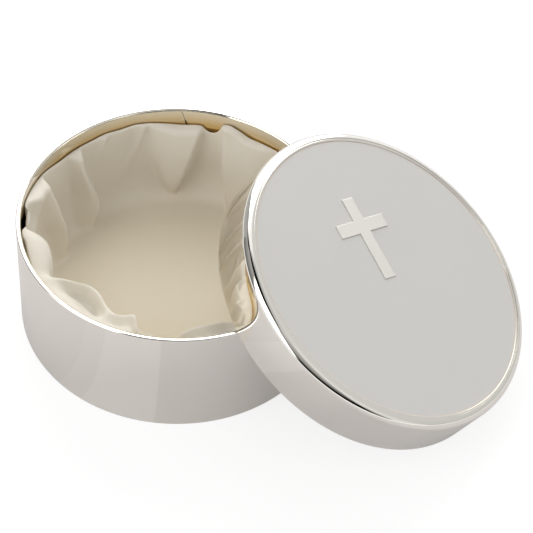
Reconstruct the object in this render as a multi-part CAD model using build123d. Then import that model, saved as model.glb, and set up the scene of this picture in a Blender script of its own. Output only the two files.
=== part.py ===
"""Round keepsake box for a rosary: a plated metal base with a satin lining, and a lid with an enamel top.

The base is a rolled band soldered to a flat plate. A disc of wadding pads its floor, and one disc of
satin is pressed in over it and turned up the wall, so its fullness gathers into pleats that die out at
the floor. The lid is one pressed sheet that slips over the base; its top is sunk for a rolled bezel
ring, a poured enamel panel and a small metal cross.

Lengths are millimetres and angles are degrees. The base stands on z = 0 with its axis on Z. The lid has
been lifted off and leans on the rim: its axis tips towards +X, one side of its open edge rests on the
table and the edge crosses the rim at two points, one on each side of the XZ plane.
"""

from build123d import *

import os
from math import asin, cos, degrees, pi, sin, sqrt

# --- base: band and plate -------------------------------------------------------------------------------
BASE_RADIUS = 40.0
BASE_HEIGHT = 32.0
WALL_THICKNESS = 1.25
PLATE_THICKNESS = 0.8
RIM_ROUND = 0.3
PLATE_EDGE_ROUND = 0.15

# The band's ends meet in a slanting butt joint, polished out outside and left as a fine line inside.
SEAM_WIDTH = 0.2
SEAM_DEPTH = 0.25
SEAM_AZIMUTH = 107.5
SEAM_SLANT = 16.5

# --- lining: wadding and the satin over it --------------------------------------------------------------
SATIN_THICKNESS = 0.3
LINING_CLEARANCE = 0.2
WADDING_THICKNESS = 2.7
FLOOR_CROWN = 1.0
FLOOR_BORDER = 5.0
LINING_BELOW_RIM = 4.6
PLEAT_COUNT = 14
PLEAT_DEPTH = 4.0
POINTS_PER_PLEAT = 6

# --- lid: pressed shell, bezel ring, enamel and cross ----------------------------------------------------
LID_SHEET = 0.5
LID_CLEARANCE = 0.1
LID_HEIGHT = 13.5
SHOULDER_RADIUS = 2.0
SHOULDER_LAND = 0.1
RECESS_DEPTH = 1.4
RING_WIDTH = 0.62
RING_BELOW_TOP = 0.08
RING_SEAM_WIDTH = 0.12
RING_SEAM_AZIMUTH = 171.0
INLAY_CLEARANCE = 0.03
ENAMEL_BELOW_TOP = 0.3

CROSS_HEIGHT = 22.6
CROSS_SPAN = 16.0
CROSS_BAR_WIDTH = 3.6
CROSS_THICKNESS = 0.8
CROSS_PROUD = 0.3
CROSS_ARM_ABOVE_FOOT = 14.7
CROSS_FOOT_PAST_CENTRE = 0.85
CROSS_ASIDE = 0.55
CROSS_AZIMUTH = 142.4

# --- how the lid leans ----------------------------------------------------------------------------------
LEAN_OVERHANG = 14.8
LEAN_CLEARANCE = 0.15

# --- places worked out from the sizes -------------------------------------------------------------------
WELL_RADIUS = BASE_RADIUS - WALL_THICKNESS
LINING_RADIUS = WELL_RADIUS - LINING_CLEARANCE
DOME_RADIUS = LINING_RADIUS - FLOOR_BORDER
WADDING_TOP = PLATE_THICKNESS + WADDING_THICKNESS
FLOOR_TOP = WADDING_TOP + SATIN_THICKNESS
LINING_TOP = BASE_HEIGHT - LINING_BELOW_RIM

LID_RADIUS = BASE_RADIUS + LID_CLEARANCE + LID_SHEET
RECESS_RADIUS = LID_RADIUS - SHOULDER_RADIUS - SHOULDER_LAND
RECESS_FLOOR = LID_HEIGHT - RECESS_DEPTH
RING_RADIUS = RECESS_RADIUS - INLAY_CLEARANCE
ENAMEL_RADIUS = RING_RADIUS - RING_WIDTH - INLAY_CLEARANCE
ENAMEL_TOP = LID_HEIGHT - ENAMEL_BELOW_TOP


def disc(radius, low, high):
    """Solid disc about Z between two heights."""
    return Pos(0, 0, low) * extrude(Circle(radius), high - low)


def tube(outer, inner, low, high):
    """Plain tube about Z between two heights."""
    return Pos(0, 0, low) * extrude(Circle(outer) - Circle(inner), high - low)


def base_wall():
    """Rolled band with a softened rim and the butt joint showing as a line inside."""
    band = tube(BASE_RADIUS, WELL_RADIUS, PLATE_THICKNESS, BASE_HEIGHT)
    rim_edges = band.edges().filter_by(GeomType.CIRCLE).group_by(Axis.Z)[-1]
    band = fillet(rim_edges, RIM_ROUND)
    slit = Rot(-SEAM_SLANT, 0, 0) * Box(WELL_RADIUS, SEAM_WIDTH, 4 * BASE_HEIGHT)
    slit = Pos(WELL_RADIUS, 0, BASE_HEIGHT) * slit
    inner_face = tube(WELL_RADIUS + SEAM_DEPTH, WELL_RADIUS - SEAM_DEPTH, PLATE_THICKNESS, BASE_HEIGHT)
    return band - Rot(0, 0, SEAM_AZIMUTH) * (slit & inner_face)


def base_plate():
    """Flat disc that closes the band from below, trimmed flush with it outside."""
    plate = disc(BASE_RADIUS, 0, PLATE_THICKNESS)
    foot_edge = plate.edges().filter_by(GeomType.CIRCLE).group_by(Axis.Z)[0]
    return fillet(foot_edge, PLATE_EDGE_ROUND)


def padding(top):
    """Disc from the plate up to a flat border at the given height, its middle risen in a shallow dome."""
    outline = Polyline(
        (0, top + FLOOR_CROWN),
        (0, PLATE_THICKNESS),
        (LINING_RADIUS, PLATE_THICKNESS),
        (LINING_RADIUS, top),
        (DOME_RADIUS, top),
    )
    sphere_radius = (DOME_RADIUS**2 + FLOOR_CROWN**2) / (2 * FLOOR_CROWN)
    halfway = DOME_RADIUS / 2
    halfway_height = top + FLOOR_CROWN - sphere_radius + sqrt(sphere_radius**2 - halfway**2)
    dome = ThreePointArc((DOME_RADIUS, top), (halfway, halfway_height), (0, top + FLOOR_CROWN))
    profile = make_face(Plane.XZ * (outline + dome))
    return revolve(profile, Axis.Z)


def floor_wadding():
    """Soft wadding that crowns the floor."""
    return padding(WADDING_TOP)


def gathered_outline(radius, depth):
    """Face whose outline folds in from the radius, once for each pleat."""
    steps = PLEAT_COUNT * POINTS_PER_PLEAT
    points = []
    for step in range(steps):
        turn = 2 * pi * step / steps
        reach = radius - depth * (1 - cos(PLEAT_COUNT * turn)) / 2
        points.append((reach * cos(turn), reach * sin(turn)))
    return make_face(Polyline(*points, close=True))


def gathered_drum(radius):
    """Solid that is plain at the floor and deepens into pleats towards its top."""
    start = Pos(0, 0, FLOOR_TOP) * gathered_outline(radius, 0)
    end = Pos(0, 0, LINING_TOP) * gathered_outline(radius, PLEAT_DEPTH)
    return loft([start, end], ruled=True)


def lining():
    """One disc of satin: smooth over the wadding, gathered where it turns up the wall."""
    floor = padding(FLOOR_TOP) - padding(WADDING_TOP)
    side = gathered_drum(LINING_RADIUS) - gathered_drum(LINING_RADIUS - SATIN_THICKNESS)
    return floor + side


def shouldered_drum(radius, height, shoulder):
    """Solid cylinder about Z with its upper edge rounded."""
    drum = disc(radius, 0, height)
    return fillet(drum.edges().group_by(Axis.Z)[-1], shoulder)


def lid_shell():
    """Pressed sheet: skirt, rounded shoulder and a top sunk for the inlay, one thickness throughout."""
    blank = shouldered_drum(LID_RADIUS, LID_HEIGHT, SHOULDER_RADIUS)
    recess = disc(RECESS_RADIUS, RECESS_FLOOR, LID_HEIGHT)
    hollow = shouldered_drum(LID_RADIUS - LID_SHEET, LID_HEIGHT - LID_SHEET, SHOULDER_RADIUS - LID_SHEET)
    recess_back = disc(RECESS_RADIUS + LID_SHEET, RECESS_FLOOR - LID_SHEET, LID_HEIGHT)
    return blank - recess - (hollow - recess_back)


def bezel_ring():
    """Strip rolled into a ring that frames the enamel, its ends butted."""
    ring = tube(RING_RADIUS, RING_RADIUS - RING_WIDTH, RECESS_FLOOR, LID_HEIGHT - RING_BELOW_TOP)
    joint = Pos(RING_RADIUS, 0, LID_HEIGHT) * Box(4 * RING_WIDTH, RING_SEAM_WIDTH, 4 * RECESS_DEPTH)
    return ring - Rot(0, 0, RING_SEAM_AZIMUTH) * joint


def cross_prism(low, high, margin):
    """Plain Latin cross about its place on the lid, grown by a margin on every side."""
    bar = CROSS_BAR_WIDTH + 2 * margin
    middle = CROSS_HEIGHT / 2
    upright = Pos(middle, 0) * Rectangle(CROSS_HEIGHT + 2 * margin, bar)
    arms = Pos(CROSS_ARM_ABOVE_FOOT, 0) * Rectangle(bar, CROSS_SPAN + 2 * margin)
    outline = Pos(-CROSS_FOOT_PAST_CENTRE, CROSS_ASIDE) * (upright + arms)
    return Pos(0, 0, low) * extrude(Rot(0, 0, CROSS_AZIMUTH) * outline, high - low)


def enamel_panel():
    """Poured enamel that fills the ring, with the cross's bed in it."""
    panel = disc(ENAMEL_RADIUS, RECESS_FLOOR, ENAMEL_TOP)
    cross_bed = cross_prism(ENAMEL_TOP + CROSS_PROUD - CROSS_THICKNESS, LID_HEIGHT, INLAY_CLEARANCE)
    return panel - cross_bed


def lid_cross():
    """Metal cross set in the enamel and standing a little proud of it."""
    top = ENAMEL_TOP + CROSS_PROUD
    return cross_prism(top - CROSS_THICKNESS, top, 0)


def leaning_place():
    """Place of the lid, whose own origin is the middle of its open edge, as it leans on the rim.

    The lowest point of the edge is on the table. The rim's outer corner meets the inner corner of the
    edge on both sides, and the two circles share the chord between those points.
    """
    edge_inside = LID_RADIUS - LID_SHEET
    contact_height = BASE_HEIGHT + LEAN_CLEARANCE
    middle_to_chord = LID_RADIUS - LEAN_OVERHANG
    tilt = asin(contact_height / (LID_RADIUS + middle_to_chord))
    half_chord = sqrt(edge_inside**2 - middle_to_chord**2)
    chord_from_axis = sqrt(BASE_RADIUS**2 - half_chord**2)
    middle_x = chord_from_axis + middle_to_chord * cos(tilt)
    middle_z = LID_RADIUS * sin(tilt)
    return Pos(middle_x, 0, middle_z) * Rot(0, degrees(tilt), 0)


BASE_PIECES = {
    "base_wall": base_wall,
    "base_plate": base_plate,
    "floor_wadding": floor_wadding,
    "lining": lining,
}
LID_PIECES = {
    "lid_shell": lid_shell,
    "bezel_ring": bezel_ring,
    "enamel_panel": enamel_panel,
    "lid_cross": lid_cross,
}


def main():
    """Write each piece to its own STEP file, in its place at rest."""
    os.makedirs("parts", exist_ok=True)
    for name, make in BASE_PIECES.items():
        export_step(make(), f"parts/{name}.step")
    place = leaning_place()
    for name, make in LID_PIECES.items():
        export_step(place * make(), f"parts/{name}.step")
    tilt = place.orientation.Y
    print(f"lid tilt {tilt:.3f} deg, middle of the open edge {place.position}")


if __name__ == "__main__":
    main()
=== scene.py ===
"""Looks of the round rosary box: a bright plated base lined with satin, its enamelled lid leaning on the rim.

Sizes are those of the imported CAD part, and the lid's place is read from it. The metal, the satin and the
wadding are modelled here again with the detail that the eye expects, and stand for the CAD nodes. The
enamel is the CAD node itself.
"""

import logging
import math
from collections.abc import Callable, Iterator, Sequence
from contextlib import contextmanager
from dataclasses import dataclass
from enum import Enum

import bmesh
import bpy
from bpy.types import Material, Node, NodeSocket, NodeTree, Object
from mathutils import Matrix, Vector, noise


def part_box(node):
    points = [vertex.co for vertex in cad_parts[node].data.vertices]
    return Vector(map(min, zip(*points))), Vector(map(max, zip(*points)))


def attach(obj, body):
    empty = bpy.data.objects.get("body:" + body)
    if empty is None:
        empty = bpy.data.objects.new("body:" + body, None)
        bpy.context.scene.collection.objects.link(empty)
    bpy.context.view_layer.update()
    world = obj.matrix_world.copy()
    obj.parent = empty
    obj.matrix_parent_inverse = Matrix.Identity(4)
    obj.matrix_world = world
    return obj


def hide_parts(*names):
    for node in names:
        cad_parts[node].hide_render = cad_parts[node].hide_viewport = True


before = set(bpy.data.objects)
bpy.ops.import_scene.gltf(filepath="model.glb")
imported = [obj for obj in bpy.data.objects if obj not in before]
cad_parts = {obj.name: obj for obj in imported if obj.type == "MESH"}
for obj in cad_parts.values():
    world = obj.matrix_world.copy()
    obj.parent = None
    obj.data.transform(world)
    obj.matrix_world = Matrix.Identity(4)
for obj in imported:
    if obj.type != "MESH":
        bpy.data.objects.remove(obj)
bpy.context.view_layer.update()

MM = 0.001
HAIR = 0.001  # millimetres; corners closer than this are one
TOUCH = 0.01  # millimetres; how near to a level still counts as on it
LOG = logging.getLogger("rosary_box")

Point = tuple[float, float]
Outline = Sequence[Point]


class Body(Enum):
    """The two parts of the box that move apart."""

    BASE = "base"
    LID = "lid"


class Slot(Enum):
    """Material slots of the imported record."""

    PLATE = "silver_plate"
    CROSS = "cross_metal"
    ENAMEL = "enamel"
    SATIN = "satin"
    WADDING = "wadding"


# --- Small tools -------------------------------------------------


def smooth_step(share: float) -> float:
    """Ease from 0 to 1 with level ends."""
    share = min(1.0, max(0.0, share))
    return share * share * (3 - 2 * share)


def blend(low: float, high: float, share: float) -> float:
    """Value that lies a share of the way between two others."""
    return low + (high - low) * share


def linear_colour(hex_code: str) -> tuple[float, float, float, float]:
    """Turn an sRGB hex colour into Blender's linear RGBA.

    Args:
        hex_code: Six hex digits, such as "d3cec5".

    Returns:
        Red, green, blue and alpha, each from 0 to 1.
    """
    channels = []
    for start in (0, 2, 4):
        value = int(hex_code[start : start + 2], 16) / 255
        channels.append(value / 12.92 if value <= 0.04045 else ((value + 0.055) / 1.055) ** 2.4)
    return (*channels, 1.0)


def sky_direction(azimuth: float, elevation: float) -> Vector:
    """Unit vector towards a place in the sky, from its azimuth about Z and its height, in degrees."""
    turn, rise = math.radians(azimuth), math.radians(elevation)
    return Vector((math.cos(turn) * math.cos(rise), math.sin(turn) * math.cos(rise), math.sin(rise)))


def clear_selection() -> None:
    """Leave edit mode and deselect every object."""
    if bpy.context.object is not None and bpy.context.object.mode != "OBJECT":
        bpy.ops.object.mode_set(mode="OBJECT")
    bpy.ops.object.select_all(action="DESELECT")


def make_active(piece: Object) -> None:
    """Select one object alone and make it the active one."""
    clear_selection()
    piece.select_set(True)
    bpy.context.view_layer.objects.active = piece


@contextmanager
def editing(piece: Object) -> Iterator[None]:
    """Edit a piece, with all of it selected at the start, and then leave edit mode."""
    make_active(piece)
    bpy.ops.object.mode_set(mode="EDIT")
    bpy.ops.mesh.select_all(action="SELECT")
    yield
    bpy.ops.object.mode_set(mode="OBJECT")


def point_faces_outwards() -> None:
    """Turn every face of the piece that is being edited outwards."""
    bpy.ops.mesh.select_all(action="SELECT")
    bpy.ops.mesh.normals_make_consistent(inside=False)


def soften_edges(piece: Object, wanted: Callable[[Vector], bool], width: float, steps: int) -> None:
    """Round the edges of a piece whose two ends pass a test.

    Args:
        piece: The object to edit.
        wanted: Says of a point, in metres, whether it counts.
        width: How far the round reaches back from the edge, in millimetres.
        steps: How many faces the round has.
    """
    with editing(piece):
        bpy.ops.mesh.select_mode(type="EDGE")
        bpy.ops.mesh.select_all(action="DESELECT")
        mesh = bmesh.from_edit_mesh(piece.data)
        for edge in mesh.edges:
            edge.select_set(all(wanted(vertex.co) for vertex in edge.verts))
        bmesh.update_edit_mesh(piece.data)
        bpy.ops.mesh.bevel(offset=width * MM, segments=steps, affect="EDGES")


def smooth_by_angle(piece: Object, degrees: float = 40) -> None:
    """Shade a piece smooth, apart from edges sharper than an angle."""
    make_active(piece)
    bpy.ops.object.shade_smooth_by_angle(angle=math.radians(degrees))


def apply_modifiers(piece: Object) -> None:
    """Apply every modifier of a piece, in order."""
    make_active(piece)
    for modifier in list(piece.modifiers):
        bpy.ops.object.modifier_apply(modifier=modifier.name)


def arc(centre: Point, radius: float, start: float, end: float, steps: int) -> list[Point]:
    """Points of an arc in an outline of (radius, height), from one angle in degrees to another."""
    angles = [math.radians(blend(start, end, step / steps)) for step in range(steps + 1)]
    return [(centre[0] + radius * math.cos(turn), centre[1] + radius * math.sin(turn)) for turn in angles]


def mesh_piece(
    name: str,
    corners: Sequence[Sequence[float]],
    faces: Sequence[Sequence[int]],
    edges: Sequence[tuple[int, int]] = (),
) -> Object:
    """Add an object from the corners of its mesh, in metres, and their numbers in its faces or edges."""
    mesh = bpy.data.meshes.new(name)
    mesh.from_pydata(corners, edges, faces)
    piece = bpy.data.objects.new(name, mesh)
    bpy.context.scene.collection.objects.link(piece)
    return piece


def turn_outline(name: str, outline: Outline, closed: bool, sides: int = 288) -> Object:
    """Model a round piece ring by ring, each ring extruded from the last.

    Args:
        name: Name of the piece.
        outline: (radius, height) of each ring, in millimetres.
        closed: True for a ring whose last edge goes back to its first. False for a piece with a flat
            face inside its first ring and another inside its last.
        sides: How many sides a ring has.

    Returns:
        The new object, at the origin.
    """
    clear_selection()
    rings = [(radius * MM, height * MM) for radius, height in outline]
    bpy.ops.mesh.primitive_circle_add(vertices=sides, radius=rings[0][0], enter_editmode=True)
    piece = bpy.context.object
    piece.name = name
    bpy.ops.mesh.select_mode(type="EDGE")
    bpy.ops.transform.translate(value=(0, 0, rings[0][1]))
    if not closed:
        bpy.ops.mesh.edge_face_add()
    later = rings[1:] + (rings[:1] if closed else [])
    for (radius, height), (next_radius, next_height) in zip(rings, later):
        bpy.ops.mesh.extrude_edges_move(TRANSFORM_OT_translate={"value": (0, 0, next_height - height)})
        grow = next_radius / radius
        bpy.ops.transform.resize(value=(grow, grow, 1), center_override=(0, 0, next_height))
    if not closed:
        bpy.ops.mesh.edge_face_add()
    bpy.ops.mesh.select_all(action="SELECT")
    bpy.ops.mesh.remove_doubles(threshold=HAIR * MM)
    point_faces_outwards()
    bpy.ops.object.mode_set(mode="OBJECT")
    return piece


def dress(piece: Object, material: Material) -> None:
    """Give a piece its material."""
    piece.data.materials.clear()
    piece.data.materials.append(material)


def finish_piece(piece: Object, body: Body, material: Material, node: str) -> None:
    """Put a finished piece on its body, dress it and let it stand for a CAD node.

    Args:
        piece: A finished object, at the origin.
        body: The body that it rides on.
        material: Its Blender material.
        node: Name of the CAD node that it stands for.
    """
    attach(piece, body.value)
    dress(piece, material)
    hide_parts(node)
    LOG.info("%s: %d faces on %s", piece.name, len(piece.data.polygons), body.value)


# --- Finishes ----------------------------------------------------


def add_node(
    tree: NodeTree, kind: str, inputs: dict[str | int, object] | None = None, **settings: object
) -> Node:
    """Add a node with its settings, values and links.

    Args:
        tree: The node tree to add it to.
        kind: The kind of node, as Blender names it after "ShaderNode".
        inputs: For each input, by name or index, its value, a colour in hex, or the socket or node that
            feeds it. A node feeds it from the first of its outputs that is in use.
        settings: The node's own settings.

    Returns:
        The new node.
    """
    node = tree.nodes.new("ShaderNode" + kind)
    for name, value in settings.items():
        setattr(node, name, value)
    for name, value in (inputs or {}).items():
        if isinstance(value, Node):
            value = next(socket for socket in value.outputs if socket.enabled)
        if isinstance(value, NodeSocket):
            tree.links.new(value, node.inputs[name])
        else:
            node.inputs[name].default_value = linear_colour(value) if isinstance(value, str) else value
    return node


def empty_material(name: str) -> tuple[Material, NodeTree]:
    """Make a node material with nothing in it."""
    material = bpy.data.materials.new(name)
    material.use_nodes = True
    material.node_tree.nodes.clear()
    return material, material.node_tree


def axis_distance(tree: NodeTree, place: Node | NodeSocket) -> Node:
    """Add nodes that give how far a place is from the Z axis."""
    level = add_node(tree, "VectorMath", {0: place, 1: (1, 1, 0)}, operation="MULTIPLY")
    return add_node(tree, "VectorMath", {0: level}, operation="LENGTH")


def uneven(
    tree: NodeTree,
    place: NodeSocket,
    size: float,
    depth: float,
    detail: float,
    strength: float = 1.0,
    over: Node | None = None,
) -> Node:
    """Add nodes that make a surface uneven.

    Args:
        tree: The material's node tree.
        place: Object coordinates.
        size: How wide the rises are, in millimetres.
        depth: How high they are, in millimetres.
        detail: How much finer unevenness they carry.
        strength: Share of the relief that shows.
        over: Coarser unevenness that it lies on.

    Returns:
        The node with the surface's normal.
    """
    rises = add_node(tree, "TexNoise", {"Vector": place, "Scale": 1 / (size * MM), "Detail": detail})
    under = {"Normal": over} if over else {}
    return add_node(tree, "Bump", {"Height": rises, "Distance": depth * MM, "Strength": strength, **under})


@dataclass(frozen=True)
class Finish:
    """Finish of a real surface, in nodes that read Object coordinates."""

    name: str

    def material(self) -> Material:
        """Build the material."""
        material, tree = empty_material(self.name)
        place = add_node(tree, "TexCoord").outputs["Object"]
        shader = add_node(tree, "BsdfPrincipled", self.surface(tree, place))
        add_node(tree, "OutputMaterial", {"Surface": shader})
        return material

    def surface(self, tree: NodeTree, place: NodeSocket) -> dict[str, object]:
        """Add the nodes that feed the shader.

        Args:
            tree: The material's node tree.
            place: Object coordinates.

        Returns:
            The shader's inputs by name, as add_node takes them.
        """
        raise NotImplementedError


@dataclass(frozen=True)
class SilverPlate(Finish):
    """Silver plate on brass sheet, buffed to a mirror and lightly handled.

    It is the brightest of metals, warmed a little by age. The buffing leaves a trace of haze, and the
    sheet under it is very slightly uneven, so reflections are almost sharp and waver a little. Inside
    the band it may carry a golden colour low down, paler towards the rim: a painted reflection of the
    satin and painted shade where the wall meets the lining. A thin dark ragged line runs along the
    rim's inner round. Radii and heights are millimetres.
    """

    name: str = "silver_plate"
    colour: str = "f3f0ea"
    # Golden painted reflection of the satin and painted shade, low inside the band, fading paler towards the
    # rim
    painted_reflection: str | None = None
    painted_reflection_above: str = "f6f2ea"
    painted_reflection_heights: tuple[float, float] = (27.4, 31.0)
    painted_reflection_within: float = 39.16
    # A thin dark line with a ragged edge along the rim's inner round, beyond the golden inside
    rim_line: str = "645840"
    rim_line_within: float = 39.34
    rim_line_waver: float = 0.12
    rim_line_waver_size: float = 0.8
    roughness: float = 0.035
    haze: float = 0.04
    haze_size: float = 9.0
    hazy_share: tuple[float, float] = (0.35, 0.75)
    unevenness: float = 0.01
    unevenness_size: float = 14.0
    scratch_pitch: float = 0.5
    scratch_depth: float = 0.0003

    def surface(self, tree: NodeTree, place: NodeSocket) -> dict[str, object]:
        """Add the haze, the waver of the sheet, the buffing and any painted reflection inside the band."""
        haze = add_node(tree, "TexNoise", {"Vector": place, "Scale": 1 / (self.haze_size * MM), "Detail": 5.0})
        low, high = self.hazy_share
        dull = self.roughness + self.haze
        rough = {"From Min": low, "From Max": high, "To Min": self.roughness, "To Max": dull}
        waves = uneven(tree, place, self.unevenness_size, self.unevenness, 1.0)
        return {
            "Base Color": self.paint_reflection_inside(tree, place) if self.painted_reflection else self.colour,
            "Metallic": 1.0,
            "Roughness": add_node(tree, "MapRange", {"Value": haze, **rough}),
            "Normal": uneven(tree, place, self.scratch_pitch, self.scratch_depth, 2.0, over=waves),
        }

    def paint_reflection_inside(self, tree: NodeTree, place: NodeSocket) -> Node:
        """Add nodes that paint the satin's reflection and shade golden inside the band, and a thin dark line
        on the rim's inner round.
        """
        height = add_node(tree, "SeparateXYZ", {"Vector": place}).outputs["Z"]
        # Painted reflection of the satin and painted shade: golden low down, paler above
        low, high = self.painted_reflection_heights
        rise = add_node(tree, "MapRange", {"Value": height, "From Min": low * MM, "From Max": high * MM})
        tone = add_node(tree, "Mix", {0: rise, 6: self.painted_reflection, 7: self.painted_reflection_above}, data_type="RGBA")
        # A thin dark line with a ragged edge, then the plain plate further out
        size = self.rim_line_waver_size * MM
        ragged = add_node(tree, "TexNoise", {"Vector": place, "Scale": 1 / size, "Detail": 3.0})
        reach = {0: ragged, 1: self.rim_line_waver * MM, 2: axis_distance(tree, place)}
        wavering = add_node(tree, "Math", reach, operation="MULTIPLY_ADD")
        for limit, beyond in ((self.painted_reflection_within, self.rim_line), (self.rim_line_within, self.colour)):
            past = add_node(tree, "Math", {0: wavering, 1: limit * MM}, operation="GREATER_THAN")
            tone = add_node(tree, "Mix", {0: past, 6: tone, 7: beyond}, data_type="RGBA")
        return tone


@dataclass(frozen=True)
class Satin(Finish):
    """Ivory polyester satin, woven with its smooth face out.

    Floating threads give it a soft, broad sheen, and it is fine enough to look smooth. The weave is drawn
    three times as coarse as the real one, because the real one is too fine to show. The floor is a little
    yellower than the wall, whose cooler, paler colour is painted sheen on the same cloth. Sizes are
    millimetres, and the floor's reach is measured over the cloth.
    """

    name: str = "ivory_satin"
    # The wall's cooler, paler colour is painted sheen; the floor keeps the yellower floor colour
    colour: str = "e5dfd3"
    shade: str = "dcd6c9"
    shade_size: float = 11.0
    floor_colour: str = "e6dcc6"
    floor_reach: tuple[float, float] = (20.0, 47.0)
    thread_pitch: float = 0.3
    thread_relief: float = 0.004
    roughness: float = 0.48
    gloss: float = 0.35
    sheen: float = 0.3
    sheen_roughness: float = 0.4

    def surface(self, tree: NodeTree, place: NodeSocket) -> dict[str, object]:
        """Add the weave, the soft patches of shade and the wall's painted sheen, a cooler colour than the
        floor's.
        """
        cloth = add_node(tree, "UVMap", uv_map="cut").outputs["UV"]
        # A wave texture has 20 / (2 pi) bands to a unit at a scale of 1. The weft is half as close.
        warp_scale = 2 * math.pi / 20 / (self.thread_pitch * MM)
        warp, weft = (
            add_node(
                tree,
                "TexWave",
                {"Vector": cloth, "Scale": scale, "Distortion": 0.4, "Detail": 1.0},
                bands_direction=direction,
            ).outputs["Fac"]
            for direction, scale in (("X", warp_scale), ("Y", warp_scale / 2))
        )
        threads = add_node(tree, "Math", {0: warp, 1: weft}, operation="MULTIPLY")
        size = self.shade_size * MM
        patches = add_node(tree, "TexNoise", {"Vector": place, "Scale": 1 / size, "Detail": 3.0})
        tone = add_node(tree, "Mix", {0: patches, 6: self.colour, 7: self.shade}, data_type="RGBA")
        reach = add_node(tree, "VectorMath", {0: cloth}, operation="LENGTH")
        start, end = self.floor_reach
        ends = {"Value": reach, "From Min": start * MM, "From Max": end * MM}
        turned_up = add_node(tree, "MapRange", ends, interpolation_type="SMOOTHSTEP")
        # Floor colour out to the floor's reach, then the wall's painted sheen colour
        tones = {0: turned_up, 6: self.floor_colour, 7: tone}
        return {
            "Base Color": add_node(tree, "Mix", tones, data_type="RGBA"),
            "Roughness": self.roughness,
            "Specular IOR Level": self.gloss,
            "Sheen Weight": self.sheen,
            "Sheen Roughness": self.sheen_roughness,
            "Normal": add_node(
                tree, "Bump", {"Height": threads, "Distance": self.thread_relief * MM, "Strength": 1.0}
            ),
        }


@dataclass(frozen=True)
class Enamel(Finish):
    """Cold enamel poured into the lid, a pale grey with a trace of pearl.

    It levels itself as it sets, so it is smooth and even, with a soft gloss and a few specks of dust. Next
    to the ring it turns a little pinker, in a narrow band of colour. Sizes are millimetres.
    """

    name: str = "pearl_enamel"
    colour: str = "cfcdca"
    pearl: str = "d2d0cd"
    pearl_size: float = 18.0
    # A narrow, slightly pinker band of colour next to the ring, on the flat enamel
    ring_band_colour: str = "d8cdc4"
    ring_band_from: float = 37.55
    ring_band_blend: float = 0.1
    fleck_size: float = 0.5
    fleck_relief: float = 0.0006
    roughness: float = 0.32
    gloss: float = 0.25

    def surface(self, tree: NodeTree, place: NodeSocket) -> dict[str, object]:
        """Add the pearl, the pinker band next to the ring, measured round the lid's own axis, and the specks.
        """
        size = self.pearl_size * MM
        pearl = add_node(tree, "TexNoise", {"Vector": place, "Scale": 1 / size, "Detail": 4.0})
        tone = add_node(tree, "Mix", {0: pearl, 6: self.colour, 7: self.pearl}, data_type="RGBA")
        away = Lid().place().inverted()
        turned = {"Vector": place, "Location": away.translation, "Rotation": away.to_euler()}
        reach = axis_distance(tree, add_node(tree, "Mapping", turned))
        start, full = (self.ring_band_from - self.ring_band_blend) * MM, self.ring_band_from * MM
        edge = add_node(tree, "MapRange", {"Value": reach, "From Min": start, "From Max": full})
        return {
            "Base Color": add_node(tree, "Mix", {0: edge, 6: tone, 7: self.ring_band_colour}, data_type="RGBA"),
            "Roughness": self.roughness,
            "Specular IOR Level": self.gloss,
            "Normal": uneven(tree, place, self.fleck_size, self.fleck_relief, 1.0),
        }


@dataclass(frozen=True)
class SatinSilver(Finish):
    """Silver plate left from the stamp, brushed very lightly, so it is pale and even and not a mirror."""

    name: str = "satin_silver"
    colour: str = "e0deda"
    roughness: float = 0.66
    grain: float = 0.25
    grain_relief: float = 0.002

    def surface(self, tree: NodeTree, place: NodeSocket) -> dict[str, object]:
        """Add the brushed grain."""
        return {
            "Base Color": self.colour,
            "Metallic": 1.0,
            "Roughness": self.roughness,
            "Normal": uneven(tree, place, self.grain, self.grain_relief, 2.0),
        }


@dataclass(frozen=True)
class Wadding(Finish):
    """Polyester wadding, white and fluffy, with no sheen."""

    name: str = "white_wadding"
    colour: str = "efeee9"
    tuft: float = 1.2
    tuft_relief: float = 0.3
    tuft_strength: float = 0.7
    tuft_detail: float = 6.0
    roughness: float = 0.95
    sheen: float = 0.4

    def surface(self, tree: NodeTree, place: NodeSocket) -> dict[str, object]:
        """Add the tufts."""
        return {
            "Base Color": self.colour,
            "Roughness": self.roughness,
            "Sheen Weight": self.sheen,
            "Normal": uneven(
                tree, place, self.tuft, self.tuft_relief, self.tuft_detail, strength=self.tuft_strength
            ),
        }


# --- Camera, light and table -------------------------------------


@dataclass(frozen=True)
class Viewpoint:
    """Camera that looks down on the box, held at a slight roll."""

    lens: float = 123.0
    azimuth: float = 13.722
    elevation: float = 47.793
    distance: float = 485.489
    target: tuple[float, float, float] = (18.669, 19.808, 0.0)
    roll: float = 4.432

    def build(self) -> None:
        """Add the camera and make it the scene's own."""
        turn, rise, roll = (math.radians(angle) for angle in (self.azimuth, self.elevation, self.roll))
        back = Vector((math.sin(turn) * math.cos(rise), -math.cos(turn) * math.cos(rise), math.sin(rise)))
        right = Vector((math.cos(turn), math.sin(turn), 0))
        above = back.cross(right)
        across = math.cos(roll) * right + math.sin(roll) * above
        upward = math.cos(roll) * above - math.sin(roll) * right
        place = Matrix((across, upward, back)).transposed().to_4x4()
        place.translation = (Vector(self.target) + back * self.distance) * MM

        settings = bpy.data.cameras.new("camera")
        settings.lens = self.lens
        settings.sensor_width = 36
        settings.clip_start = 0.01
        settings.clip_end = 20
        camera = bpy.data.objects.new("camera", settings)
        camera.matrix_world = place
        bpy.context.scene.collection.objects.link(camera)
        bpy.context.scene.camera = camera


def grid_faces(rows: int, columns: int) -> list[tuple[int, int, int, int]]:
    """Faces of a grid whose corners are listed row by row, with one more each way than it has faces."""
    starts = [row * (columns + 1) + column for row in range(rows) for column in range(columns)]
    return [(here, here + 1, here + columns + 2, here + columns + 1) for here in starts]


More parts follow.
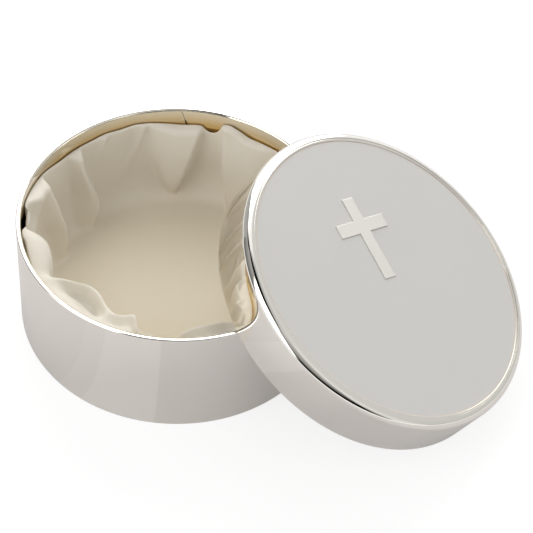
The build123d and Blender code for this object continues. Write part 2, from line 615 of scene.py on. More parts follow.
def hang_card(name: str, corners: Sequence[Vector], columns: int, material: Material) -> Object:
    """Add a card that only sharp reflections see, as part of the studio.

    Args:
        name: Name of the card.
        corners: Its corners in metres, row by row.
        columns: How many faces a row has.
        material: Its material.

    Returns:
        The card.
    """
    card = mesh_piece(name, corners, grid_faces(len(corners) // (columns + 1) - 1, columns))
    card.data.materials.append(material)
    for rays in ("camera", "diffuse", "shadow", "transmission", "volume_scatter"):
        setattr(card, f"visible_{rays}", False)
    return card


def glowing_matt(tree: NodeTree, colour: str, glow: float | Node) -> None:
    """Fill an empty material with a matt colour, in hex, that also gives off an even white light."""
    paint = add_node(tree, "BsdfDiffuse", {"Color": colour})
    light = add_node(tree, "Emission", {"Color": "ffffff", "Strength": glow})
    add_node(tree, "OutputMaterial", {"Surface": add_node(tree, "AddShader", {0: paint, 1: light})})


def seen_directly(tree: NodeTree) -> Node:
    """Add nodes that give 1 for what a lens, a reflection or glass shows, and 0 for what lights cloth."""
    rays = add_node(tree, "LightPath").outputs
    ends = {0: rays["Is Camera Ray"], 1: rays["Is Glossy Ray"]}
    straight = add_node(tree, "Math", ends, operation="MAXIMUM")
    return add_node(tree, "Math", {0: straight, 1: rays["Is Transmission Ray"]}, operation="MAXIMUM")


@dataclass(frozen=True)
class Softbox:
    """Flat lamp with a soft front.

    The plane of its front faces the box from an azimuth, an elevation and a distance; the middle of the
    front lies some way to the side and up in that plane, and the front is rolled in it. Angles are
    degrees, lengths are metres, and the glow is how bright the front looks, where 1 is white. A lamp
    that isn't mirrored lights the box but shows in no reflection.
    """

    name: str
    azimuth: float
    elevation: float
    distance: float
    aside: float
    up: float
    roll: float
    width: float
    height: float
    glow: float
    tint: str = "ffffff"
    mirrored: bool = True

    def build(self) -> None:
        """Hang the lamp."""
        settings = bpy.data.lights.new(self.name, "AREA")
        settings.shape = "RECTANGLE"
        settings.size = self.width
        settings.size_y = self.height
        settings.energy = self.glow * math.pi * self.width * self.height
        settings.color = linear_colour(self.tint)[:3]
        lamp = bpy.data.objects.new(self.name, settings)
        facing = sky_direction(self.azimuth, self.elevation).to_track_quat("Z", "Y").to_matrix()
        lamp.location = facing @ Vector((self.aside, self.up, self.distance))
        lamp.rotation_euler = (facing @ Matrix.Rotation(math.radians(self.roll), 3, "Z")).to_euler()
        lamp.visible_glossy = self.mirrored
        bpy.context.scene.collection.objects.link(lamp)


@dataclass(frozen=True)
class WallCard:
    """Card that stands round the table and that only bright metal notices, in its reflections.

    It covers a patch of the sky, from one azimuth and elevation to another, in degrees, and its shade
    runs evenly from its foot to its head. It gives off that shade as a glow instead of taking the
    lamps' light, so it is a painted reflection.
    """

    name: str
    azimuths: tuple[float, float]
    elevations: tuple[float, float]
    foot: str
    head: str
    distance: float = 1.6
    step: float = 5.0

    def build(self) -> None:
        """Bend the card round the table."""
        columns = max(1, round((self.azimuths[1] - self.azimuths[0]) / self.step))
        rows = max(1, round((self.elevations[1] - self.elevations[0]) / self.step))
        corners = []
        shades = []
        for row in range(rows + 1):
            elevation = blend(*self.elevations, row / rows)
            for column in range(columns + 1):
                azimuth = blend(*self.azimuths, column / columns)
                corners.append(sky_direction(azimuth, elevation) * self.distance)
                pair = zip(linear_colour(self.foot), linear_colour(self.head), strict=True)
                shades.extend(blend(low, high, row / rows) for low, high in pair)
        material, tree = empty_material(self.name)
        shade = add_node(tree, "Attribute", attribute_name="shade")
        add_node(tree, "OutputMaterial", {"Surface": add_node(tree, "Emission", {"Color": shade})})
        card = hang_card(self.name, corners, columns, material)
        card.data.color_attributes.new("shade", "FLOAT_COLOR", "POINT").data.foreach_set("color", shades)


@dataclass(frozen=True)
class PaperSheet:
    """Paper on the table, part of a ring round the box, that only bright metal notices.

    Its inner and outer radius and its height over the table are metres, and the azimuths that it runs
    between are degrees. It glows as well as taking the light, because it is far paler than its colour
    alone would be under the lamps. Where two sheets overlap, the higher one shows.
    """

    name: str
    radii: tuple[float, float]
    azimuths: tuple[float, float]
    shade: str
    glow: float
    lift: float = 0.0001
    step: float = 6.0

    def build(self) -> None:
        """Lay the paper a hair above the table."""
        columns = max(1, round((self.azimuths[1] - self.azimuths[0]) / self.step))
        azimuths = [blend(*self.azimuths, column / columns) for column in range(columns + 1)]
        directions = [sky_direction(azimuth, 0) for azimuth in azimuths]
        rise = Vector((0, 0, self.lift))
        corners = [direction * radius + rise for radius in reversed(self.radii) for direction in directions]
        material, tree = empty_material(self.name)
        glowing_matt(tree, self.shade, self.glow)
        hang_card(self.name, corners, columns, material)


@dataclass(frozen=True)
class Studio:
    """White table in a white room, with two large soft lamps and the cards that model the bright metal."""

    table_size: float = 6.0
    table_colour: str = "898989"
    table_glow: float = 0.79
    room_light: float = 0.47
    softboxes: tuple[Softbox, ...] = (
        Softbox("back_softbox", 100, 36.4, 1.0, 0.0, 0.0, 32, 1.04, 0.97, 2.5, "fffefa"),
        Softbox("left_softbox", -157, 0, 0.8, 0.53, 0.84, 0, 0.96, 1.4, 1.75),
        Softbox("right_fill", -18, 38, 1.3, 0.0, 0.0, 0, 1.2, 1.0, 0.95, mirrored=False),
    )
    wall_cards: tuple[WallCard, ...] = (
        WallCard("front_black", (-103, -43), (-7, 15), "000000", "050505"),
        WallCard("front_dark", (-103, -43), (15, 36), "050505", "a4a4a2"),
        WallCard("front_grey", (-103, -60), (36, 64), "9c9c9a", "c0c0bd"),
        WallCard("front_grey_right", (-60, -43), (36, 64), "b4b4b2", "dededc"),
        WallCard("front_turn", (-43, -34), (-7, 24), "3c3c3c", "c0c0be"),
        WallCard("front_turn_high", (-43, -34), (24, 64), "d6d6d4", "dededc"),
        WallCard("front_pale", (-34, -12), (3, 64), "e0e0de", "ececea"),
        WallCard("right_grey", (-12, 62), (-3, 64), "c8c8c6", "dcdcda"),
        WallCard("under_left_softbox", (-166, -103), (-7, 7), "080808", "484848"),
        WallCard("left_edge", (-190, -157), (-9, 66), "484848", "b4b4b2"),
        WallCard("back_left", (134, 170), (-8, 56), "c0c0be", "a0a09e"),
        WallCard("ceiling_left", (-196, -112), (62, 90), "000000", "0c0c0c"),
        WallCard("ceiling_left_side", (-112, -97), (60, 90), "101010", "202020"),
        WallCard("left_gap", (-108, -99), (4, 60), "080808", "707070"),
        WallCard("ceiling_front", (-97, -78), (62, 90), "646462", "606060"),
        WallCard("ceiling_right", (-78, 64), (64, 90), "dcdcda", "a0a0a0"),
        WallCard("ceiling_over", (64, 148), (76, 90), "c8c8c6", "606060"),
        WallCard("ceiling_back", (148, 170), (56, 90), "181818", "101010"),
    )
    sheets: tuple[PaperSheet, ...] = (
        PaperSheet("grey_paper", (0.0, 0.155), (-180, 180), "bebaba", 0.17),
        PaperSheet("grey_paper_front", (0.155, 0.22), (-103, 180), "bebaba", 0.17),
        PaperSheet("grey_paper_right", (0.22, 0.3), (-36, 180), "bebaba", 0.17),
        PaperSheet("pale_paper", (0.04, 0.155), (-118, -79), "bebaba", 0.19, lift=0.0003),
        PaperSheet("paler_paper", (0.04, 0.155), (-107, -79), "bebaba", 0.225, lift=0.0005),
    )

    def build(self) -> None:
        """Light the room, then lay the table."""
        self.light_room()
        self.lay_table()
        for item in (*self.softboxes, *self.wall_cards, *self.sheets):
            item.build()

    def light_room(self) -> None:
        """White room, which a lens and bright metal see as plain white, and which lights cloth less."""
        world = bpy.data.worlds.new("white_room")
        world.use_nodes = True
        tree = world.node_tree
        tree.nodes.clear()
        ends = {"Value": seen_directly(tree), "To Min": self.room_light, "To Max": 1.0}
        light = add_node(tree, "Background", {"Color": "ffffff", "Strength": add_node(tree, "MapRange", ends)})
        add_node(tree, "OutputWorld", {"Surface": light})
        bpy.context.scene.world = world

    def lay_table(self) -> None:
        """White table top that keeps the box's shadow."""
        clear_selection()
        bpy.ops.mesh.primitive_plane_add(size=self.table_size)
        table = bpy.context.object
        table.name = "table"
        material, tree = empty_material("white_table")
        glow = add_node(tree, "Math", {0: seen_directly(tree), 1: self.table_glow}, operation="MULTIPLY")
        glowing_matt(tree, self.table_colour, glow)
        table.data.materials.append(material)


# --- Metal base --------------------------------------------------


@dataclass(frozen=True)
class MetalBase:
    """Round base without its lining: a rolled band soldered to a flat plate.

    Sizes are millimetres and angles are degrees.
    """

    radius: float = 40.0
    height: float = 32.0
    wall: float = 1.25
    plate: float = 0.8
    rim_round: float = 0.3
    inner_rim_round: float = 0.62
    foot_round: float = 0.15
    seam_width: float = 0.42
    seam_depth: float = 0.6
    seam_azimuth: float = 107.5
    seam_slant: float = 16.5
    seam_bared: float = 8.0

    def band(self) -> Object:
        """Model the band, round its rim and cut the butt joint that shows above the lining."""
        inside = self.radius - self.wall
        outline = [
            (self.radius, self.plate),
            (self.radius, self.height),
            (inside, self.height),
            (inside, self.plate),
        ]
        band = turn_outline("band", outline, closed=True)
        rim, middle = (self.height - TOUCH) * MM, (self.radius - self.wall / 2) * MM
        soften_edges(band, lambda point: point.z > rim and point.xy.length > middle, self.rim_round, 4)
        soften_edges(band, lambda point: point.z > rim and point.xy.length < middle, self.inner_rim_round, 5)
        self.cut_seam(band)
        smooth_by_angle(band)
        return band

    def cut_seam(self, band: Object) -> None:
        """Cut the slanting line where the band's two ends meet, in its inner face."""
        turn = math.radians(self.seam_azimuth)
        inside = (self.radius - self.wall) * MM
        clear_selection()
        bpy.ops.mesh.primitive_cube_add(size=1)
        saw = bpy.context.object
        cut = Matrix.Diagonal((2 * self.seam_depth * MM, self.seam_width * MM, 2 * self.seam_bared * MM, 1))
        lean = Matrix.Rotation(math.radians(-self.seam_slant), 4, "X")
        top = Matrix.Translation((inside, 0, self.height * MM))
        saw.data.transform(Matrix.Rotation(turn, 4, "Z") @ top @ lean @ cut)
        sawing = band.modifiers.new("seam", "BOOLEAN")
        sawing.operation = "DIFFERENCE"
        sawing.solver = "EXACT"
        sawing.object = saw
        apply_modifiers(band)
        bpy.data.objects.remove(saw)

    def foot(self) -> Object:
        """Model the plate, with its foot edge softened."""
        plate = turn_outline("foot_plate", [(self.radius, 0), (self.radius, self.plate)], closed=False)
        soften_edges(plate, lambda point: point.z < TOUCH * MM, self.foot_round, 3)
        smooth_by_angle(plate)
        return plate

    def build(self, silver: Material, silver_with_painted_reflection: Material) -> None:
        """Model both pieces and plate them."""
        finish_piece(self.band(), Body.BASE, silver_with_painted_reflection, "base_wall")
        finish_piece(self.foot(), Body.BASE, silver, "base_plate")


# --- Lid ---------------------------------------------------------


@dataclass(frozen=True)
class Lid:
    """Pressed lid with a bezel ring, poured enamel and a cross, leaning on the rim of the base.

    It is modelled upright about its own axis, with its open edge down, and then put in its place.
    Sizes are millimetres and angles are degrees.
    """

    radius: float = 40.6
    height: float = 13.5
    sheet: float = 0.5
    shoulder: float = 2.0
    recess_radius: float = 38.5
    recess_depth: float = 1.4
    edge_round: float = 0.12
    ring_outer: float = 38.47
    ring_inner: float = 37.85
    ring_top: float = 13.42
    ring_corner: float = 0.1
    ring_gap: float = 0.12
    ring_gap_azimuth: float = 171.0
    ring_steps: int = 288
    cross_height: float = 22.6
    cross_span: float = 16.0
    cross_bar: float = 3.6
    cross_thickness: float = 0.8
    cross_top: float = 13.5
    cross_arm: float = 14.7
    cross_foot: float = -0.85
    cross_aside: float = 0.55
    cross_azimuth: float = 142.4
    cross_round: float = 0.16

    def place(self) -> Matrix:
        """Place of the lid's own frame, read from the leaning CAD pieces."""
        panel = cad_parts["enamel_panel"].data
        largest = max(panel.polygons, key=lambda face: face.area)
        normal = largest.normal if largest.normal.z > 0 else -largest.normal
        tilt = math.atan2(normal.x, normal.z)
        lowest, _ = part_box("lid_shell")
        middle_x = lowest[0] + self.radius * MM * math.cos(tilt)
        middle_z = self.radius * MM * math.sin(tilt)
        return Matrix.Translation((middle_x, 0, middle_z)) @ Matrix.Rotation(tilt, 4, "Y")

    def shell(self) -> Object:
        """Model the pressed sheet from the underside of its recess, over its edge and back to the recess."""
        recess_floor = self.height - self.recess_depth
        back_radius = self.recess_radius + self.sheet
        centre = (self.radius - self.shoulder, self.height - self.shoulder)
        inner_shoulder = self.shoulder - self.sheet
        meet = math.degrees(math.acos((back_radius - centre[0]) / inner_shoulder))
        outline = [(back_radius, recess_floor - self.sheet)]
        outline += arc(centre, inner_shoulder, meet, 0, 10)
        outline += [(self.radius - self.sheet, 0), (self.radius, 0)]
        outline += arc(centre, self.shoulder, 0, 90, 18)
        outline += [(self.recess_radius, self.height), (self.recess_radius, recess_floor)]
        shell = turn_outline("lid_shell_pressed", outline, closed=False)
        soften_edges(shell, lambda point: point.z < TOUCH * MM, self.edge_round, 3)
        smooth_by_angle(shell, 50)
        return shell

    def ring(self) -> Object:
        """Bend a flat strip with slightly rounded corners into a ring whose two ends almost meet."""
        floor = self.height - self.recess_depth
        corner = self.ring_corner
        profile = [(self.ring_inner, floor), (self.ring_outer, floor)]
        profile += arc((self.ring_outer - corner, self.ring_top - corner), corner, 0, 90, 3)
        profile += arc((self.ring_inner + corner, self.ring_top - corner), corner, 90, 180, 3)
        half_gap = self.ring_gap / (self.ring_outer + self.ring_inner)
        start = Matrix.Rotation(math.radians(self.ring_gap_azimuth) + half_gap, 3, "Z")
        corners = [start @ Vector((reach, 0, rise)) * MM for reach, rise in profile]
        edges = [(index, (index + 1) % len(corners)) for index in range(len(corners))]
        ring = mesh_piece("bezel", corners, [], edges)
        with editing(ring):
            turn = 2 * math.pi - 2 * half_gap
            bpy.ops.mesh.spin(steps=self.ring_steps, angle=turn, center=(0, 0, 0), axis=(0, 0, 1))
            bpy.ops.mesh.select_all(action="SELECT")
            bpy.ops.mesh.fill_holes(sides=0)
            point_faces_outwards()
        smooth_by_angle(ring)
        return ring

    def cross(self) -> Object:
        """Cut the cross out of sheet and soften its upper edges."""
        half_bar, half_span = self.cross_bar / 2, self.cross_span / 2
        head, arms = self.cross_foot + self.cross_height, self.cross_foot + self.cross_arm
        half = [
            (self.cross_foot, half_bar),
            (arms - half_bar, half_bar),
            (arms - half_bar, half_span),
            (arms + half_bar, half_span),
            (arms + half_bar, half_bar),
            (head, half_bar),
        ]
        outline = [(along, -side) for along, side in half] + half[::-1]
        turn = Matrix.Rotation(math.radians(self.cross_azimuth), 3, "Z")
        bottom = self.cross_top - self.cross_thickness
        corners = [turn @ Vector((along, side + self.cross_aside, bottom)) * MM for along, side in outline]
        cross = mesh_piece("cross", corners, [range(len(corners))])
        with editing(cross):
            bpy.ops.mesh.select_mode(type="FACE")
            rise = (0, 0, self.cross_thickness * MM)
            bpy.ops.mesh.extrude_region_move(TRANSFORM_OT_translate={"value": rise})
            point_faces_outwards()
        upper = (self.cross_top - TOUCH) * MM
        soften_edges(cross, lambda point: point.z > upper, self.cross_round, 3)
        return cross

    def build(self, silver: Material, satin_silver: Material, enamel: Material) -> None:
        """Model the lid's pieces, lean them on the rim and dress them."""
        place = self.place()
        pieces = (
            (self.shell(), Slot.PLATE, silver, "lid_shell"),
            (self.ring(), Slot.PLATE, silver, "bezel_ring"),
            (self.cross(), Slot.CROSS, satin_silver, "lid_cross"),
        )
        for piece, slot, material, node in pieces:
            piece.data.transform(place)
            piece.data.update()
            finish_piece(piece, Body.LID, material, node)
        dress(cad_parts["enamel_panel"], enamel)


# --- Soft lining -------------------------------------------------


FLOOR_CROWN = 1.0
FLOOR_DOME_RADIUS = 33.55
WIDEST_FOLD = 50  # degrees from a fold's foot beyond which it never reaches
ROUND_DROP = 0.72  # 0.5 is the side of a circle, and more is softer
FLAT_SPREAD = 2.6  # 1 is a soft side, and more stays full further out
TABLES_START = 66  # azimuth from which BRIM and TOP_EDGE are read once round the box


def along_rows(rows: Sequence[tuple[float, ...]], place: float) -> list[float]:
    """Smooth values between rows of a table.

    Args:
        rows: Rows in order of their first number, which is a height or an azimuth.
        place: Where to read the table, in the unit of that first number.

    Returns:
        The other numbers of the row at that place.
    """
    if place <= rows[0][0]:
        return list(rows[0][1:])
    if place >= rows[-1][0]:
        return list(rows[-1][1:])
    last = next(index for index, row in enumerate(rows) if row[0] >= place)
    low, high = rows[last - 1], rows[last]
    before, after = rows[max(0, last - 2)], rows[min(len(rows) - 1, last + 1)]
    span = high[0] - low[0]
    share = (place - low[0]) / span
    square, cube = share * share, share**3
    values = []
    for column in range(1, len(low)):
        rise = high[column] - low[column]
        slope_low = rise
        if last >= 2:
            slope_low = (high[column] - before[column]) / (high[0] - before[0]) * span
            slope_low = slope_low if rise * slope_low > 0 else 0
        slope_high = (after[column] - low[column]) / (after[0] - low[0]) * span
        slope_high = slope_high if rise * slope_high > 0 else 0
        eased = low[column] + rise * (3 * square - 2 * cube)
        values.append(eased + slope_low * (cube - 2 * square + share) + slope_high * (cube - square))
    return values


def round_the_box(rows: Sequence[tuple[float, ...]], azimuth: float) -> list[float]:
    """Smooth values of a table whose azimuths run on past 360 degrees."""
    return along_rows(rows, azimuth if azimuth >= TABLES_START else azimuth + 360)


def dome_rise(reach: float) -> float:
    """How far the floor rises above its border, at a distance from its middle, in millimetres."""
    return FLOOR_CROWN * max(0.0, 1 - (reach / FLOOR_DOME_RADIUS) ** 2)


class Side(Enum):
    """How a fold ends on one side: softly, full up to its edge, or in a drop like the side of a tube."""

    SOFT = "soft"
    FLAT = "flat"
    ROUND = "round"


@dataclass(frozen=True)
class Fold:
    """One fold of gathered cloth, followed up the wall.

    Each row gives, at a height in millimetres, the azimuth of the fold's crest, how far it stands in
    from the wall, and the degrees over which it dies out towards a greater and a smaller azimuth. Its
    sides, in the same order, say how it does so.
    """

    name: str
    rows: tuple[tuple[float, float, float, float, float], ...]
    sides: tuple[Side, Side] = (Side.SOFT, Side.SOFT)

    def depth(self, azimuth: float, height: float) -> float:
        """How far the fold stands in from the wall at one place."""
        if abs(turn_between(azimuth, self.rows[0][1])) > WIDEST_FOLD:
            return 0.0
        crest, depth, greater, smaller = along_rows(self.rows, height)
        away = turn_between(azimuth, crest)
        share = min(1.0, abs(away) / (greater if away > 0 else smaller))
        side = self.sides[0] if away > 0 else self.sides[1]
        if side is Side.ROUND:
            return depth * (1 - share**2) ** ROUND_DROP
        if side is Side.FLAT:
            share = share**FLAT_SPREAD
        return depth * (1 + math.cos(math.pi * share)) / 2


def turn_between(azimuth: float, other: float) -> float:
    """Signed turn from one azimuth to another, in degrees from -180 to 180."""
    return (azimuth - other + 180) % 360 - 180


@dataclass(frozen=True)
class Stretch:
    """Stretch of the wall over which an amount grows, over some degrees, and dies out again."""

    start: float
    end: float
    amount: float
    grows: float = 4.0
    dies: float = 4.0

    def at(self, azimuth: float) -> float:
        """The amount at one azimuth."""
        grown = smooth_step((azimuth - self.start) / self.grows)
        return self.amount * grown * smooth_step((self.end - azimuth) / self.dies)


FOLDS = (
    Fold("back_left_swag", (
        (4, 155, 6.0, 9, 6), (5.7, 152.8, 6.9, 11, 5), (8.6, 150.4, 7.1, 12, 4.4),
        (10.7, 149.3, 6.8, 11, 4.4), (14, 150, 6.2, 8, 4), (18.2, 152.4, 5.0, 5, 3.6),
        (23, 153.2, 4.0, 4.6, 3.2), (26.7, 153.5, 3.2, 5, 3), (29, 151.5, 1.6, 5, 2.5),
    ), (Side.SOFT, Side.ROUND)),
    Fold("left_swag", (
        (4, 178, 6.2, 11, 7), (6, 175.5, 7.2, 12, 6.5), (8.2, 174.3, 7.3, 11, 6),
        (12.7, 173.5, 6.8, 10, 5.5), (17.6, 175.5, 6.2, 9.5, 5), (22.3, 176.5, 5.4, 9, 4.4),
        (26, 177.5, 4.4, 9, 4), (29.5, 178, 3.2, 13, 3.5),
    ), (Side.SOFT, Side.ROUND)),
    Fold("left_ledge", (
        (24.5, 183, 0, 9, 9), (26, 183, 1.6, 10, 9), (27.4, 183, 3.2, 12, 10), (30, 182, 3.2, 12, 10),
    )),
    Fold("left_hollow", (
        (4, 185, 4.2, 13, 13), (10, 185, 3, 13, 13), (16, 185, 1.6, 13, 13), (24, 184, 0.8, 13, 13),
    )),
    Fold("left_pillar", (
        (4, 206, 3.4, 8, 5), (12, 205, 3.6, 8, 5), (16, 202.5, 3.6, 8, 4.5), (19, 198.5, 3.6, 8, 4),
        (21, 194.5, 3.6, 8, 4), (23, 190, 3.4, 8, 4), (25, 186.5, 3.2, 7, 4), (27, 185, 2.6, 7, 4),
    ), (Side.SOFT, Side.ROUND)),
    Fold("back_flap", (
        (3.5, 81.5, 6.0, 4.6, 16), (8, 84, 5.6, 3.8, 20), (12.3, 86.6, 5.0, 3, 24),
        (21, 88.4, 3.8, 2.4, 26), (27, 89.2, 1.8, 2.2, 26),
    ), (Side.ROUND, Side.FLAT)),
    Fold("back_pleat", (
        (4.6, 110.4, 2.0, 1.5, 1.4), (6.2, 109.4, 4.0, 5, 1.6), (9, 107.8, 5.0, 10, 1.8),
        (18.5, 103, 4.6, 19, 1.8), (26, 100.2, 2.8, 23, 1.5), (28, 99.6, 1.6, 24, 1.2),
    ), (Side.FLAT, Side.ROUND)),
)  # fmt: skip

# Fine creases, which stand out on top of the folds.
CREASES = (
    Fold("upright_crease", (
        (12, 130.5, 0, 3, 3), (16, 128.5, 0.6, 2.4, 2.4), (22, 124.8, 0.9, 2, 2),
        (27, 122.5, 0.8, 1.8, 1.8),
    )),
    Fold("short_crease", (
        (20, 142.5, 0, 3, 2), (23, 141, 0.7, 2.4, 1.8), (26, 139.3, 0.9, 2, 1.6), (28, 139, 0.7, 2, 1.6),
    )),
)  # fmt: skip

# How far the gathers round the front stand in: the azimuth, the depth at the foot and the depth at the crest.
BRIM = (
    (198, 0, 0), (200.5, 1.0, 0.8), (203, 4.0, 4.0), (206, 5.4, 5.8), (210, 5.6, 6.4), (215, 5.0, 6.2),
    (221, 3.5, 4.5), (224, 3.0, 4.2), (226, 3.0, 5.4), (228.5, 3.0, 7.8), (231.5, 3.0, 9.7),
    (235, 3.0, 11.3), (239, 3.3, 12.1), (243, 3.5, 12.0), (247, 3.5, 11.4), (251, 3.4, 10.3),
    (255, 3.2, 9.3), (259, 3.0, 8.7), (263, 3.0, 9.4), (266.5, 3.2, 10.8), (268.5, 3.0, 10.3),
    (270.5, 2.8, 7.4), (273, 2.5, 5.8), (277, 2.3, 5.5), (283, 2.0, 4.9), (286.5, 2.0, 4.6),
    (289, 2.2, 5.8), (292, 2.6, 7.5), (295.5, 3.0, 8.6), (300, 3.2, 9.1), (306, 3.2, 9.2),
    (311.5, 3.0, 8.7), (314.5, 2.8, 7.2), (318, 2.3, 3.8), (323, 2.0, 2.4), (331, 2.4, 5.0),
    (337, 2.6, 6.0), (347, 2.0, 2.6), (356, 2.4, 5.2), (364, 2.8, 7.0), (376, 2.0, 3.0), (388, 2.2, 4.2),
    (396, 2.4, 5.0), (408, 1.5, 2.0), (420, 0, 0),
)  # fmt: skip

# Height of the cloth's top edge: the azimuth and the height.
TOP_EDGE = (
    (66, 27.7), (72, 27.5), (79, 27.4), (85, 28.9), (88, 29.5), (91.6, 28.6), (92.1, 26.5), (97.8, 26.1),
    (98.5, 27.2), (101, 27.5), (107, 27.2), (113, 27.6), (120, 28.2), (126, 28.4), (132, 27.9),
    (139, 28.1), (143, 27.7), (149, 27.6), (153, 27.7), (160, 27.5), (164, 27.9), (170, 28.8),
    (175.5, 29.4), (180, 29.7), (185, 30.1), (189.5, 30.5), (193, 30.0), (197, 29.4), (200, 28.8),
    (203, 29.3), (206, 29.5), (212, 28.9), (218, 28.0), (225, 27.2), (240, 26.8), (262, 27.2), (270, 27),
    (283, 26.5), (303, 26.8), (320, 26.5), (340, 27), (360, 26.5), (380, 27), (400, 26.5), (415, 27),
    (426, 27.7),
)  # fmt: skip


@dataclass(frozen=True)
class Lining:
    """Disc of satin pressed in over the wadding, gathered up the wall and turned over at its top.

    It is drawn as lines from the middle of the floor to the end of the hem, one at each azimuth. Low
    down it sweeps up from the floor to the wall. It starts to turn over some way below its top edge,
    lower where the folds stand in further, and the hem goes down the wall behind it. Round the front
    the turned cloth sinks in a dish behind the crest of the folds, with a ridge beside the wall. In a
    few places the turn is squarer, like a ledge, or the top edge stands off the wall. Sizes are
    millimetres and angles are degrees.
    """

    cut_radius: float = 63.0
    wall_radius: float = 38.35
    closest: float = 0.05
    sweep: float = 6.0
    sweep_height: float = 9.0
    floor_height: float = 3.85
    loose: float = 0.5
    ripple: float = 0.35
    ripple_round: float = 5.0
    ripple_up: float = 0.035
    brim_height: float = 21.0
    turn_least: float = 1.2
    turn_most: float = 4.5
    turn_per_depth: float = 0.35
    turn_read_below: float = 2.0
    dish_reach: float = 0.66
    dish_narrowness: float = 2.6
    ridge: float = 0.25
    dishes: tuple[Stretch, ...] = (Stretch(227, 259, 6.0, 8, 12), Stretch(250, 320, 3.2, 12, 10))
    squarer: tuple[Stretch, ...] = (Stretch(170, 200, 0.38, 6, 8), Stretch(222, 330, 0.45, 6, 8))
    loose_edges: tuple[Stretch, ...] = (
        Stretch(30, 90, 0.12), Stretch(91, 99, 0.6), Stretch(191, 202, 1.7), Stretch(205, 222, 0.7)
    )  # fmt: skip
    hem: Outline = (
        (0.12, -0.04), (0.22, -0.16), (0.29, -0.4), (0.32, -0.9), (0.32, -1.8), (0.32, -3.0), (0.32, -4.2)
    )  # fmt: skip
    columns: int = 720
    floor_rows: int = 26
    wall_rows: int = 32
    wall_rows_low: float = 1.4
    shoulder_rows: int = 16
    smoothing: int = 6

    def standing_in(self, azimuth: float, height: float) -> float:
        """How far the cloth stands in from the wall at one place."""
        spot = sky_direction(azimuth, 0) * self.ripple_round
        waver = noise.noise(Vector((spot.x, spot.y, height * self.ripple_up)))
        drop = max(0.0, 1 - max(0.0, height - self.floor_height) / self.sweep_height)
        swept = self.sweep * (1 - math.sqrt(1 - drop**2))
        plain = self.loose + self.ripple * waver + swept
        depth = (plain**3 + self.folded_in(azimuth, height) ** 3) ** (1 / 3)
        for crease in CREASES:
            if height >= crease.rows[0][0]:
                depth += crease.depth(azimuth, height)
        return max(self.closest, depth)

    def folded_in(self, azimuth: float, height: float) -> float:
        """How far the folds alone stand in at one place."""
        at_foot, at_crest = round_the_box(BRIM, azimuth)
        rise = (height - self.floor_height) / (self.brim_height - self.floor_height)
        brim = blend(at_foot, at_crest, smooth_step(rise))
        return (brim**3 + sum(fold.depth(azimuth, height) ** 3 for fold in FOLDS)) ** (1 / 3)

    def sunk(self, reach: float) -> float:
        """Share of the dish's depth at a share of the way out from the crest to the edge."""
        if reach < self.dish_reach:
            return math.sin(math.pi * reach / self.dish_reach) ** self.dish_narrowness
        return -self.ridge * math.sin(math.pi * (reach - self.dish_reach) / (1 - self.dish_reach))

    def profile(self, azimuth: float) -> list[Point]:
        """Line of the cloth from the middle of the floor to the end of its hem, at one azimuth.

        Args:
            azimuth: Where round the box the line runs, in degrees.

        Returns:
            (radius, height) of each point of the line.
        """
        foot = self.wall_radius - self.standing_in(azimuth, self.floor_height)
        turns = [math.pi / 2 * step / self.floor_rows for step in range(1, self.floor_rows)]
        points = [(foot * math.sin(turn), self.floor_at(foot * math.sin(turn))) for turn in turns]

        top = round_the_box(TOP_EDGE, azimuth)[0]
        turned = self.turn_per_depth * self.standing_in(azimuth, top - self.turn_read_below)
        crest = top - min(self.turn_most, self.turn_least + turned)
        for step in range(self.wall_rows):
            height = blend(self.floor_at(foot), crest, (step / self.wall_rows) ** self.wall_rows_low)
            points.append((self.wall_radius - self.standing_in(azimuth, height), height))

        crest_radius = self.wall_radius - self.standing_in(azimuth, crest)
        edge_radius = self.wall_radius - sum(stretch.at(azimuth) for stretch in self.loose_edges)
        power = 1.0 - sum(stretch.at(azimuth) for stretch in self.squarer)
        dish = max(stretch.at(azimuth) for stretch in self.dishes)
        for step in range(self.shoulder_rows + 1):
            angle = math.pi / 2 * step / self.shoulder_rows
            reach = 1 - max(0.0, math.cos(angle)) ** power
            height = blend(crest, top, math.sin(angle) ** power) - dish * self.sunk(reach)
            points.append((blend(crest_radius, edge_radius, reach), height))
        return points + [(edge_radius + out, top + down) for out, down in self.hem]

    def floor_at(self, reach: float) -> float:
        """Height of the cloth over the wadding at a distance from the middle."""
        return self.floor_height + dome_rise(reach)

    def build(self, satin: Material) -> None:
        azimuths = [360 * column / self.columns for column in range(self.columns)]
        corners = [(0.0, 0.0, self.floor_at(0) * MM)]
        flat = [(0.0, 0.0)]
        for azimuth in azimuths:
            direction = sky_direction(azimuth, 0)
            run, last = 0.0, (0.0, self.floor_at(0))
            for reach, height in self.profile(azimuth):
                run += math.dist(last, (reach, height))
                last = (reach, height)
                corners.append((direction.x * reach * MM, direction.y * reach * MM, height * MM))
                flat.append((direction.x * run * MM, direction.y * run * MM))
        rows = (len(corners) - 1) // self.columns
        faces = []
        for column in range(self.columns):
            here = 1 + column * rows
            there = 1 + (column + 1) % self.columns * rows
            faces.append((0, here, there))
            for row in range(rows - 1):
                faces.append((here + row, here + row + 1, there + row + 1, there + row))
        cloth = mesh_piece("satin_lining", corners, faces)
        cut = cloth.data.uv_layers.new(name="cut")
        for loop in cloth.data.loops:
            cut.data[loop.index].uv = flat[loop.vertex_index]
        with editing(cloth):
            bpy.ops.mesh.vertices_smooth(factor=0.5, repeat=self.smoothing)
        bpy.ops.object.shade_smooth()
        finish_piece(cloth, Body.BASE, satin, "lining")


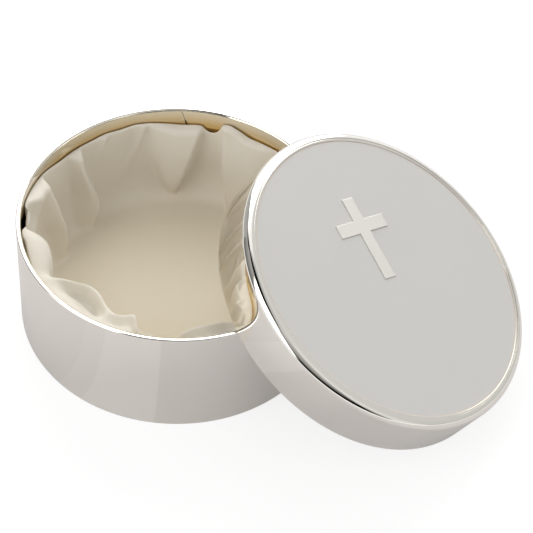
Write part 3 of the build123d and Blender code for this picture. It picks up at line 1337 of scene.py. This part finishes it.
@dataclass(frozen=True)
class FloorPad:
    """Disc of wadding that crowns the floor under the satin, swollen by a cloth simulation.

    It is cut a little smaller than the room that it fills. Sizes are millimetres.
    """

    radius: float = 38.3
    bottom: float = 0.82
    top: float = 3.5
    rings: tuple[float, ...] = (2, 12, 22, 31)
    sides: int = 96
    start_inside: float = 0.6
    voxel: float = 1.3
    pressure: float = 4.0
    frames: int = 20
    swell: float = 1.2

    def top_at(self, reach: float) -> float:
        """Highest that the wadding may be at a distance from the middle."""
        return self.top + dome_rise(reach)

    def blank(self) -> Object:
        """Model the wadding as it is cut."""
        margin = self.start_inside
        edge = self.radius - margin
        outline = [(reach, self.bottom + margin) for reach in (*self.rings, edge)]
        outline += [(edge, self.top - margin)]
        outline += [(reach, self.top_at(reach) - margin) for reach in reversed(self.rings)]
        return turn_outline("floor_pad", outline, closed=False, sides=self.sides)

    def build(self, wadding: Material) -> None:
        """Swell the wadding and press it into its room."""
        pad = self.blank()
        remesh = pad.modifiers.new("tufts", "REMESH")
        remesh.mode = "VOXEL"
        remesh.voxel_size = self.voxel * MM
        apply_modifiers(pad)
        self.inflate(pad)
        for vertex in pad.data.vertices:
            reach = math.hypot(vertex.co.x, vertex.co.y) / MM
            if reach > self.radius:
                vertex.co.x *= self.radius / reach
                vertex.co.y *= self.radius / reach
            vertex.co.z = min(max(vertex.co.z, self.bottom * MM), self.top_at(reach) * MM)
        make_active(pad)
        bpy.ops.object.shade_smooth()
        finish_piece(pad, Body.BASE, wadding, "floor_wadding")

    def inflate(self, pad: Object) -> None:
        """Blow the wadding up as a closed skin of cloth, and cap how far it swells."""
        start = [vertex.co.copy() for vertex in pad.data.vertices]
        cloth = pad.modifiers.new("swell", "CLOTH")
        cloth.settings.use_pressure = True
        cloth.settings.uniform_pressure_force = self.pressure
        cloth.settings.effector_weights.gravity = 0
        cloth.point_cache.frame_end = self.frames
        scene = bpy.context.scene
        for number in range(1, self.frames + 1):
            scene.frame_set(number)
        apply_modifiers(pad)
        scene.frame_set(1)
        limit = self.swell * MM
        for vertex, first in zip(pad.data.vertices, start):
            moved = vertex.co - first
            if moved.length > limit:
                vertex.co = first + moved * (limit / moved.length)


# --- The whole box -----------------------------------------------


def main() -> None:
    """Set up the camera and the room, then build and dress the box."""
    logging.basicConfig(level=logging.INFO, format="%(name)s: %(message)s")
    scene = bpy.context.scene
    scene.view_settings.view_transform = "Standard"
    Viewpoint().build()
    Studio().build()
    silver = SilverPlate().material()
    # The band's inner face gets a golden painted reflection of the satin and painted shade
    silver_with_painted_reflection = SilverPlate(name="silver_plate_painted_reflection", painted_reflection="dfc48c").material()
    MetalBase().build(silver, silver_with_painted_reflection)
    FloorPad().build(Wadding().material())
    Lining().build(Satin().material())
    Lid().build(silver, SatinSilver().material(), Enamel().material())


if __name__ == "__main__":
    main()
